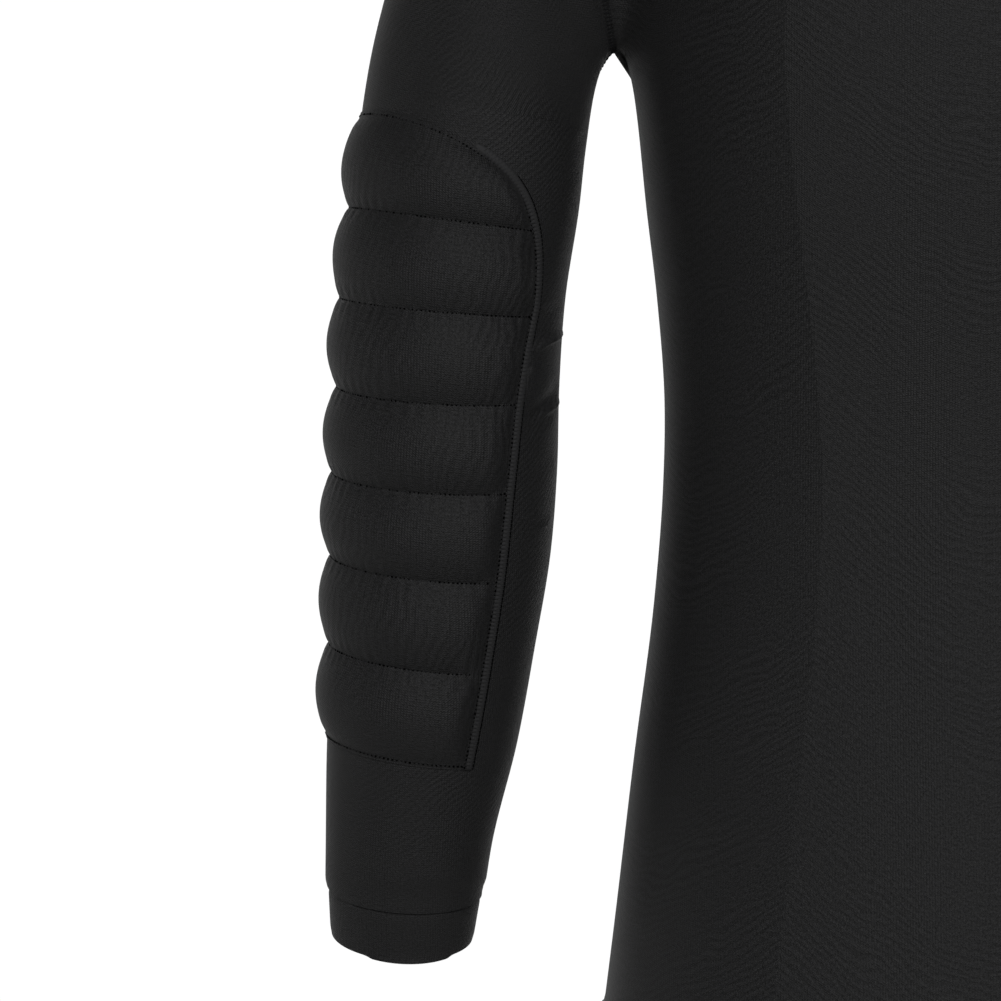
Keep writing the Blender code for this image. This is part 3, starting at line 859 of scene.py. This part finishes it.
def knit_material(name, colour, settings, ripple_pitch, ripple_turn):
    """Dyed polyester and elastane jersey, knitted and pressed.

    To the eye it is a near black, matt cloth. Its loops are too fine to show at this size, so wales
    and courses are drawn about twice as coarse as they are, and so is the grain of brighter
    filaments. Here and there rows of loops stretch into fine wavy lines.
    """
    material, tree, shader = new_material(name)

    def reckoned(operation, *values):
        return add(tree, "ShaderNodeMath", dict(enumerate(values)), operation=operation).outputs[0]

    def noise(size, **inputs):
        inputs = {"Vector": places, "Scale": 1 / size, **inputs}
        return add(tree, "ShaderNodeTexNoise", inputs).outputs["Fac"]

    def sides(vectors):
        return add(tree, "ShaderNodeSeparateXYZ", {"Vector": vectors}).outputs

    places = add(tree, "ShaderNodeUVMap", uv_map="Cut").outputs["UV"]
    axes = sides(places)
    rib = reckoned("MULTIPLY", axes["X"], 1 / settings.wale)
    lean = reckoned("PINGPONG", rib, 0.5)
    row = reckoned("MULTIPLY_ADD", axes["Y"], 1 / settings.course, lean)
    loops = reckoned("SINE", reckoned("MULTIPLY", row, math.tau))

    grain = noise(settings.grain, Detail=1.0, Roughness=0.6)
    cloud = noise(CLOUD_SIZE, Detail=2.0)
    patches = add(tree, "ShaderNodeMapRange", {
        "Value": noise(PATCH_SIZE, Detail=1.0), "From Min": 0.36, "From Max": 0.62,
        "To Min": 0.15, "To Max": 1.0}, interpolation_type="SMOOTHSTEP").outputs["Result"]
    turned = add(tree, "ShaderNodeVectorRotate", {"Vector": places, "Angle": math.radians(ripple_turn)},
                 rotation_type="Z_AXIS").outputs[0]
    drift = reckoned("MULTIPLY", cloud, RIPPLE_DRIFT)
    wave = reckoned("MULTIPLY_ADD", sides(turned)["X"], math.tau / (ripple_pitch * MM), drift)
    ripple = reckoned("MULTIPLY", reckoned("SINE", wave), patches)

    height = reckoned("MULTIPLY_ADD", loops, LOOP_SHARE, grain)
    height = reckoned("MULTIPLY_ADD", ripple, RIPPLE_SHARE, height)
    bump = add(tree, "ShaderNodeBump", {"Height": height, "Strength": 1.0, "Distance": settings.relief})
    speckle = reckoned("MULTIPLY_ADD", grain, SPECKLE_GAIN, SPECKLE_START)
    tone = reckoned("MULTIPLY_ADD", ripple, RIPPLE_SHARE, speckle)
    dark, light = (tuple(share * c for c in colour) + (1.0,) for share in (DARKEST, LIGHTEST))
    mix = add(tree, "ShaderNodeMix", {"Factor": tone, "A": dark, "B": light}, data_type="RGBA")
    fill(tree, shader, {
        "Base Color": mix.outputs["Result"], "Normal": bump.outputs["Normal"], "Roughness": 0.62,
        "IOR": 1.5, "Specular IOR Level": 0.4, "Sheen Weight": 0.03, "Sheen Roughness": 0.45})
    return material


def plain_material(name, colour, roughness, relief, noise, **constants):
    """One colour with a fine noise in its relief, which is (strength, distance)."""
    material, tree, shader = new_material(name)
    places = add(tree, "ShaderNodeTexCoord").outputs["Object"]
    grain = add(tree, "ShaderNodeTexNoise", {"Vector": places, **noise}).outputs["Fac"]
    bump = add(tree, "ShaderNodeBump", {"Height": grain, "Strength": relief[0], "Distance": relief[1]})
    fill(tree, shader, {"Normal": bump.outputs["Normal"], "Base Color": tuple(colour) + (1.0,),
                        "Roughness": roughness, **constants})
    return material


def thread_material(name, colour, roughness, specular):
    """Textured polyester sewing thread: black like the cloth, a little smoother where it is taut."""
    return plain_material(name, colour, roughness, (0.6, 0.1 * MM),
                          {"Scale": 1 / TWIST_SIZE, "Detail": 1.0}, **{"Specular IOR Level": specular})


def floor_material(colour):
    """Matt painted studio floor, rolled, with a faint cloudiness."""
    return plain_material("rolled_studio_paint", colour, 0.8, (0.1, 0.001),
                          {"Scale": 1.5, "Detail": 3.0})


# Settings

def tint(name, description, hex_colour):
    """A colour setting."""
    return FloatVectorProperty(name=name, description=description, subtype="COLOR", size=3, min=0.0,
                               max=1.0, default=linear(hex_colour))


def measure(name, description, default, least=-10.0):
    """A length setting, in metres."""
    return FloatProperty(name=name, description=description, unit="LENGTH", default=default, min=least)


def power(name, description, default):
    """A light's power, in watts."""
    return FloatProperty(name=name, description=description, subtype="POWER", default=default, min=0.0)


class ShirtClothSettings(bpy.types.PropertyGroup):
    """Colours and knit of the cloth."""

    colour: tint("Cloth colour", "Colour of the dyed jersey", "#1d1d1e")
    pad_colour: tint("Pad colour", "Colour of the jersey over the foam", "#1d1d1e")
    thread_colour: tint("Thread colour", "Colour of the sewing thread", "#19191a")
    cord_colour: tint("Cord colour", "Colour of the bulky thread over the pads' long edges", "#363637")
    # Painted shade: colour of the dark pieces in the needle holes and of the shadow line beside the cord
    painted_shade_colour: tint("Needle hole colour", "Colour deep in a needle hole", "#050505")
    wale: measure("Wale", "Width of a column of loops as drawn", 0.0013, 0.0003)
    course: measure("Course", "Height of a row of loops as drawn", 0.0011, 0.0003)
    grain: measure("Grain", "Size of the brighter specks as drawn", 0.0011, 0.0003)
    relief: measure("Relief", "Height of loops and ripples", 0.00028, 0.0)


class ShirtSewingSettings(bpy.types.PropertyGroup):
    """Thread and stitches."""

    stitch: measure("Stitch length", "Length of one stitch", 0.0021, 0.001)
    thread: measure("Thread radius", "Radius of the thread", 0.00026, 0.0001)
    seam_width: measure("Seam width", "Width of a flat joined seam", 0.0056, 0.002)
    hem: measure("Hem", "Depth of the turned-up hem", 0.022, 0.005)


class ShirtQuiltSettings(bpy.types.PropertyGroup):
    """Swell and puckers of the elbow pads."""

    crown: measure("Crown", "Swell of a cell above its seams", 0.0056, 0.001)
    seam_height: measure("Seam height", "Height of the pressed foam under a seam", 0.0011, 0.0002)
    edge_run: measure("Edge run", "Distance over which a cell rounds down to the edge", 0.013, 0.002)
    flange: measure("Flange", "Flat margin that is sewn to the sleeve", 0.0026, 0.0005)
    pucker: measure("Pucker", "Depth of the puckers beside a quilting seam", 0.00028, 0.0)
    pucker_pitch: measure("Pucker pitch", "Distance from one pucker to the next", 0.0062, 0.002)


class ShirtStageSettings(bpy.types.PropertyGroup):
    """Camera, floor and light."""

    distance: measure("Camera distance", "From the camera to the shirt's middle", 4.0, 1.0)
    frame_width: measure("Frame width", "Width that the camera sees at the shirt", 0.48048, 0.1)
    across: measure("View across", "Middle of the view, towards the wearer's left", 0.228)
    height: measure("View height", "Middle of the view above the base of the neck", -0.4464)
    floor_drop: measure("Floor drop", "From the base of the neck down to the floor", 1.46, 0.8)
    strip_power: power("Strip light", "Power of the tall light beyond the left sleeve", 8.0)
    soft_box_power: power("Soft box", "Power of the square light above the camera", 89.0)


# Operators

class SHIRT_OT_stage(bpy.types.Operator):
    """Pale floor, studio light and a camera square to the back of the shirt"""

    bl_idname = "shirt.stage"
    bl_label = "Stage"

    def execute(self, context):
        settings = context.scene.shirt_stage
        self.make_floor(settings)
        self.make_surroundings(context)
        for name, place, target, size, power_key in LIGHTS:
            self.make_light(name, place, target, size, getattr(settings, power_key))
        self.make_camera(context, settings)
        return {"FINISHED"}

    def make_floor(self, settings):
        """Disc from rings and spokes: radius along rows, turn along columns."""
        radius = np.linspace(0.02, FLOOR_RADIUS, 9)[:, None]
        turn = np.radians(np.arange(0, 360, 5))[None, :]
        points = vector(radius * np.cos(turn), radius * np.sin(turn), -settings.floor_drop)
        index = np.arange(points.shape[0] * points.shape[1]).reshape(points.shape[:2])
        faces = quads(np.hstack([index, index[:, :1]])).tolist() + [index[0, ::-1].tolist()]
        mesh = bpy.data.meshes.new("floor")
        mesh.from_pydata(points.reshape(-1, 3).tolist(), [], faces)
        mesh.update()
        if mesh.polygons[0].normal.z < 0:
            mesh.flip_normals()
        mesh.materials.append(floor_material(linear("#ececea")))
        linked("floor", mesh)

    def make_surroundings(self, context):
        """White surroundings, of which only the wall behind the shirt is lit and gives light."""
        context.scene.view_settings.view_transform = "Standard"
        world = bpy.data.worlds.new("studio")
        context.scene.world = world
        world.use_nodes = True
        tree = world.node_tree
        way = add(tree, "ShaderNodeTexCoord").outputs["Generated"]
        axes = add(tree, "ShaderNodeSeparateXYZ", {"Vector": way}).outputs
        behind = add(tree, "ShaderNodeMapRange", {
            "Value": axes["Y"], "From Min": WALL_FADE[0], "From Max": WALL_FADE[1], "To Min": 0.0,
            "To Max": WALL_STRENGTH}, interpolation_type="SMOOTHSTEP")
        seen = add(tree, "ShaderNodeLightPath").outputs["Is Camera Ray"]
        strength = add(tree, "ShaderNodeMath", {0: behind.outputs["Result"], 1: seen},
                       operation="MAXIMUM")
        fill(tree, tree.nodes["Background"], {"Color": (1.0, 1.0, 1.0, 1.0),
                                              "Strength": strength.outputs[0]})

    def make_light(self, name, place, target, size, watts):
        light = bpy.data.lights.new(name, "AREA")
        light.shape = "RECTANGLE"
        light.size, light.size_y = size
        light.energy = watts
        made = linked(name, light)
        made.location = place
        aim = np.subtract(target, place)
        tilt = math.atan2(math.hypot(aim[0], aim[1]), -aim[2])
        made.rotation_euler = (tilt, 0.0, math.atan2(aim[1], aim[0]) - math.pi / 2)

    def make_camera(self, context, settings):
        camera = bpy.data.cameras.new("camera")
        camera.sensor_width = 36.0
        camera.angle = 2 * math.atan(settings.frame_width / 2 / settings.distance)
        made = linked("camera", camera)
        made.location = (settings.across, settings.distance, settings.height)
        made.rotation_euler = (math.pi / 2, 0.0, math.pi)
        context.scene.camera = made


class SHIRT_OT_panels(bpy.types.Operator):
    """Front and back panels with their armhole creases and turned-up hem"""

    bl_idname = "shirt.panels"
    bl_label = "Front and back panels"

    def execute(self, context):
        cloth = context.scene.shirt_cloth
        hem = context.scene.shirt_sewing.hem / MM
        material = knit_material("pressed_polyester_jersey_body", cloth.colour, cloth, 4.4, 84.0)
        for name, backwards, seeds in (("back_panel", True, (None, 3)), ("front_panel", False, (5, 8))):
            base = panel_surface(backwards)
            out = outward(base)
            relief = np.zeros(base.shape[:2])
            for side, seed in zip((1.0, -1.0), seeds):
                table = PANEL_CREASES if seed is None else uneven(PANEL_CREASES, seed)
                folds = creases(side * base[..., 0], base[..., 2], table)
                relief += np.where(base[..., 0] * side > 0, folds, 0.0)
            above = smooth(hem - HEM_STEP, hem + HEM_STEP, base[..., 2] - HEM_HEIGHT)
            turned = HEM_RISE * (1 - above)
            outer = base + (relief + turned)[..., None] * out
            inner = base - (CLOTH - relief)[..., None] * out
            made = cloth_piece(name, "_cloth", base, outer, inner, False, 1.0, material)
        return {"FINISHED"}


class SHIRT_OT_sleeves(bpy.types.Operator):
    """Both sleeves, with creases at the inner elbow and under the arm"""

    bl_idname = "shirt.sleeves"
    bl_label = "Sleeves"

    def execute(self, context):
        cloth = context.scene.shirt_cloth
        material = knit_material("pressed_polyester_jersey_sleeve", cloth.colour, cloth, 2.7, 52.0)
        base = sleeve_surface()
        out = outward(base)
        around, height = arm_places(base)
        for (name, side), table in zip(SIDES, (SLEEVE_CREASES, uneven(SLEEVE_CREASES, 11))):
            relief = creases(around, height, on_arm(table))
            relief = relief - SLEEVE_END_DRAW * (1 - smooth(0.0, SLEEVE_END_RUN, height - CUFF_SEAM))
            outer = base + relief[..., None] * out
            inner = outer - CLOTH * out
            made = cloth_piece(f"sleeve_{name}", "_cloth", base, outer, inner, True, side, material)
        return {"FINISHED"}


class SHIRT_OT_bands(bpy.types.Operator):
    """Cuffs and neckband, in doubled jersey"""

    bl_idname = "shirt.bands"
    bl_label = "Cuffs and neckband"

    def execute(self, context):
        cloth = context.scene.shirt_cloth
        material = knit_material("doubled_polyester_jersey_band", cloth.colour, cloth, 2.4, 0.0)
        cuff = cuff_surface()
        for name, side in SIDES:
            self.band(f"cuff_{name}", cuff, material, side, CUFF_CUT)
        self.band("neckband", neckband_surface(), material, 1.0, NECKBAND_CUT)
        return {"FINISHED"}

    def band(self, name, base, material, side, flat):
        """Tube of cloth whose free edge is a rounded fold."""
        out = outward(base)
        fold = FOLD_INSET * np.exp(-(np.arange(len(base))[::-1] / FOLD_ROWS) ** 2)[:, None, None]
        outer = base - fold * out
        inner = base - (CLOTH - fold) * out
        made = cloth_piece(name, "_cloth", base, outer, inner, True, side, material)


class SHIRT_OT_elbow_pads(bpy.types.Operator):
    """Quilted foam pads over the elbows and forearms"""

    bl_idname = "shirt.elbow_pads"
    bl_label = "Elbow pads"

    def execute(self, context):
        cloth = context.scene.shirt_cloth
        quilt = context.scene.shirt_quilt
        material = knit_material("polyester_jersey_over_foam", cloth.pad_colour, cloth, 4.4, 12.0)
        base, cell, share, tall = pad_base()
        outer = pad_outer(base, cell, share, tall, quilt)
        under = base + PAD_GAP * outward(base)
        for name, side in SIDES:
            made = cloth_piece(f"elbow_pad_{name}", "_quilted", base, outer, under, False, side,
                               material)
        return {"FINISHED"}


def pad_outer(base, cell, share, tall, quilt):
    """Quilted face: a sine swell over each cell, rounded down to the sides, with puckered seams.

    Cloth is flat along the pad's sewn margin, and dips to the pressed foam at each seam.
    """
    out = outward(base)
    last = len(CELL_HEIGHTS) - 1
    flange = quilt.flange / MM
    travelled = lengths_along(base, 1)
    inset = np.minimum(travelled, travelled[:, -1:] - travelled)
    near_top = np.where(cell[:, None] == 0, share[:, None] * tall, 1e3)
    near_bottom = np.where(cell[:, None] == last, (1 - share[:, None]) * tall, 1e3)
    t = np.where(cell[:, None] == 0, (near_top - flange) / (tall - flange), share[:, None] + 0 * tall)
    t = np.where(cell[:, None] == last, share[:, None] * tall / (tall - flange), t)
    swell = np.sin(np.pi * np.clip(t, 0.0, 1.0)) ** SWELL_ROUNDNESS
    rounded = np.clip((inset - flange) / (quilt.edge_run / MM), 0.0, 1.0)
    edge = np.sin(np.pi / 2 * rounded) ** EDGE_ROUNDNESS
    border = np.minimum(np.minimum(inset, near_top), near_bottom)
    risen = smooth(flange * 0.6, flange + MARGIN_RISE, border)
    low = MARGIN_HEIGHT + (quilt.seam_height / MM - MARGIN_HEIGHT) * risen

    seam_distance = np.minimum(share[:, None] * tall, (1 - share[:, None]) * tall)
    pitch = quilt.pucker_pitch / MM
    sway = sum(np.sin(travelled / swing + shift * cell[:, None]) for swing, shift in PUCKER_SWINGS)
    pucker = np.sin(math.tau * travelled / pitch + PUCKER_DRIFT * sway + PUCKER_SHIFT * cell[:, None])
    pucker = pucker * np.exp(-((seam_distance - PUCKER_PLACE) / PUCKER_REACH) ** 2)
    pucker = pucker * smooth(flange, flange + PUCKER_FADE, border)
    height = low + quilt.crown / MM * swell * edge + quilt.pucker / MM * pucker
    return base + (PAD_GAP + height)[..., None] * out


class SHIRT_OT_quilting(bpy.types.Operator):
    """Stitches along the pads' edges and cells, the overlocked cord down their long sides, painted shade
    in the needle holes and a painted shadow line beside the cord
    """

    bl_idname = "shirt.quilting"
    bl_label = "Quilting stitches"

    def execute(self, context):
        cloth = context.scene.shirt_cloth
        sewing = context.scene.shirt_sewing
        thread = thread_material("textured_polyester_thread", cloth.thread_colour, 0.5, 0.4)
        # Painted shade: one near-black material for the pieces in the needle holes and for the shadow
        # line beside the cord
        hole = thread_material("shadowed_needle_hole", cloth.painted_shade_colour, 0.95, 0.0)
        cord = thread_material("bulked_polyester_overlock_thread", cloth.cord_colour, 0.75, 0.2)
        base, cell, share, tall = pad_base()
        outer = pad_outer(base, cell, share, tall, context.scene.shirt_quilt)
        out = outward(base)
        length, radius = sewing.stitch / MM, sewing.thread / MM
        inset = context.scene.shirt_quilt.flange / MM * PAD_STITCH_PLACE
        margin = slice(2, -2)

        rows = [k * CELL_ROWS for k in range(1, len(CELL_HEIGHTS))]
        lines = [(outer[row, margin], out[row, margin], 0.0) for row in rows]
        lines += [(outer[0], out[0], -inset), (outer[-1], out[-1], inset),
                  (outer[:, 0], out[:, 0], inset), (outer[:, -1], out[:, -1], -inset)]
        stitches = [stitch_parts(p, o, length, radius, aside, PAD_STITCH_LIFT, False,
                                 uneven=STITCH_UNEVEN) for p, o, aside in lines]
        # Painted shade in the needle holes: dark pieces half a stitch on from the stitches
        hole_shades = [stitch_parts(p, o, length, radius * HOLE_SHADE_WIDTH, aside, 0.0, False, HOLE_SHADE_GAP,
                              HOLE_SHADE_UNEVEN) for p, o, aside in self.between(lines, length)]
        cover, painted_cord_shadows = [], []
        covered = base[0, :, 2] < PAD_TOP - PAD_COVER_START
        half = len(covered) // 2
        for column, row, way in ((0, np.flatnonzero(covered[:half])[::-1], -1.0),
                                 (-1, half + np.flatnonzero(covered[half:]), 1.0)):
            path = np.concatenate([base[0, row], base[1:, column]])
            up = np.concatenate([out[0, row], out[1:, column]])
            middle = way * PAD_COVER_MIDDLE
            cover.append(tape_parts(path, up, PAD_COVER_WIDTH, PAD_COVER_HEIGHT, False, middle,
                                    PAD_COVER_TAPER))
            cover.append(zigzag_parts(path[COVER_FIRST_POINT:], up[COVER_FIRST_POINT:], COVER_PITCH,
                                      COVER_SWING * PAD_COVER_WIDTH, COVER_THREAD, COVER_LIFT, False,
                                      middle))
            # Painted shadow: a thin near-black band beside the cord, where the sleeve's cloth falls in
            # shade
            shadow = middle + way * (PAD_COVER_WIDTH / 2 + SHADOW_ASIDE)
            painted_cord_shadows.append(tape_parts(base[:, column], out[:, column], SHADOW_WIDTH, SHADOW_HEIGHT,
                                      False, shadow, SHADOW_TAPER))
        for name, side in SIDES:
            for kind, parts, material in (("stitches", stitches, thread), ("needle_holes", hole_shades, hole),
                                          ("overlocked_cord", cover, cord),
                                          ("cord_shadow", painted_cord_shadows, hole)):
                label = f"elbow_pad_{name}_{kind}"
                placed(label, sewing_mesh(label, parts, side), material)
        return {"FINISHED"}

    def between(self, lines, length):
        """The same lines, begun half a stitch further on."""
        moved = []
        for path, out, aside in lines:
            travelled = lengths_along(path, 0)
            at = travelled + length / 2
            at = at[at < travelled[-1]]
            moved.append((read_at(at, travelled, path), read_at(at, travelled, out), aside))
        return moved


class SHIRT_OT_seams(bpy.types.Operator):
    """Flat seams of armholes, shoulders and sleeves, and the stitching of hem and neckband"""

    bl_idname = "shirt.seams"
    bl_label = "Seams"

    def execute(self, context):
        cloth = context.scene.shirt_cloth
        sewing = context.scene.shirt_sewing
        jersey = knit_material("folded_jersey_seam", cloth.colour, cloth, 2.4, 0.0)
        thread = thread_material("textured_polyester_seam_thread", cloth.thread_colour, 0.5, 0.4)
        armhole = fan_points(np.linspace(180.0, 540.0, 241)[:-1], 0.0)
        flat = [(armhole, True), (shoulder_seam(12), False), (sleeve_surface()[:, 0], False)]
        for name, mirrored in SIDES:
            tapes, threads = [], []
            for path, closed in flat:
                tape, sewn = self.flat_seam(path, closed, sewing)
                tapes.append(tape)
                threads += sewn
            self.place(f"flat_seams_{name}", tapes, jersey, mirrored)
            self.place(f"seam_threads_{name}", threads, thread, mirrored)
        hem = level_ring(np.radians(np.arange(0.0, 360.0, 1.0)),
                         HEM_HEIGHT + sewing.hem / MM - HEM_ROWS_DROP)
        self.place("hem_threads", self.hem_rows(hem, sewing), thread, 1.0)
        tape, sewn = self.flat_seam(neckline(6), True, sewing)
        self.place("neck_seam", [tape], jersey, 1.0)
        self.place("neck_threads", sewn, thread, 1.0)
        return {"FINISHED"}

    def flat_seam(self, path, closed, sewing):
        """Low band over a joint, a row of stitches near each edge and a thread that swings between."""
        out = outward(path)
        width = sewing.seam_width / MM
        radius = sewing.thread / MM
        tape = tape_parts(path, out, width, SEAM_BAND_HEIGHT, closed)
        rows = [stitch_parts(path, out, sewing.stitch / MM, radius, offset, SEAM_ROW_LIFT, closed)
                for offset in (-SEAM_ROW_PLACE * width, SEAM_ROW_PLACE * width)]
        rows.append(zigzag_parts(path, out, SEAM_SWING_PITCH, SEAM_SWING * width,
                                 radius * SEAM_SWING_THREAD, SEAM_SWING_LIFT, closed))
        return tape, rows

    def hem_rows(self, path, sewing):
        """Two rows of stitches 4 mm apart, as on a turned edge."""
        out = outward(path)
        length, radius = sewing.stitch / MM * HEM_STITCH, sewing.thread / MM
        return [stitch_parts(path, out, length, radius, offset, HEM_ROW_LIFT, True)
                for offset in (-HEM_ROW_PLACE, HEM_ROW_PLACE)]

    def place(self, name, parts, material, side):
        placed(name, sewing_mesh(name, parts, side), material)


class SHIRT_PT_panel(bpy.types.Panel):
    """Pieces of the shirt, each with its button, and the settings that they read"""

    bl_idname = "SHIRT_PT_panel"
    bl_label = "Compression Shirt"
    bl_space_type = "VIEW_3D"
    bl_region_type = "UI"
    bl_category = "Shirt"

    def draw(self, context):
        for operator in OPERATORS:
            self.layout.operator(operator.bl_idname)
        for name in SETTINGS:
            group = getattr(context.scene, name)
            box = self.layout.box()
            for key in group.__annotations__:
                box.prop(group, key)


OPERATORS = (SHIRT_OT_stage, SHIRT_OT_panels, SHIRT_OT_sleeves, SHIRT_OT_bands, SHIRT_OT_elbow_pads,
             SHIRT_OT_quilting, SHIRT_OT_seams)
SETTINGS = {
    "shirt_cloth": ShirtClothSettings,
    "shirt_sewing": ShirtSewingSettings,
    "shirt_quilt": ShirtQuiltSettings,
    "shirt_stage": ShirtStageSettings,
}


def register():
    for group in SETTINGS.values():
        bpy.utils.register_class(group)
    for item in (*OPERATORS, SHIRT_PT_panel):
        bpy.utils.register_class(item)
    for name, group in SETTINGS.items():
        setattr(bpy.types.Scene, name, PointerProperty(type=group))


def unregister():
    for name in SETTINGS:
        delattr(bpy.types.Scene, name)
    for item in (SHIRT_PT_panel, *OPERATORS[::-1], *SETTINGS.values()):
        bpy.utils.unregister_class(item)


def main():
    register()
    bpy.ops.shirt.stage()
    bpy.ops.shirt.panels()
    bpy.ops.shirt.sleeves()
    bpy.ops.shirt.bands()
    bpy.ops.shirt.elbow_pads()
    bpy.ops.shirt.quilting()
    bpy.ops.shirt.seams()


if __name__ == "__main__":
    main()
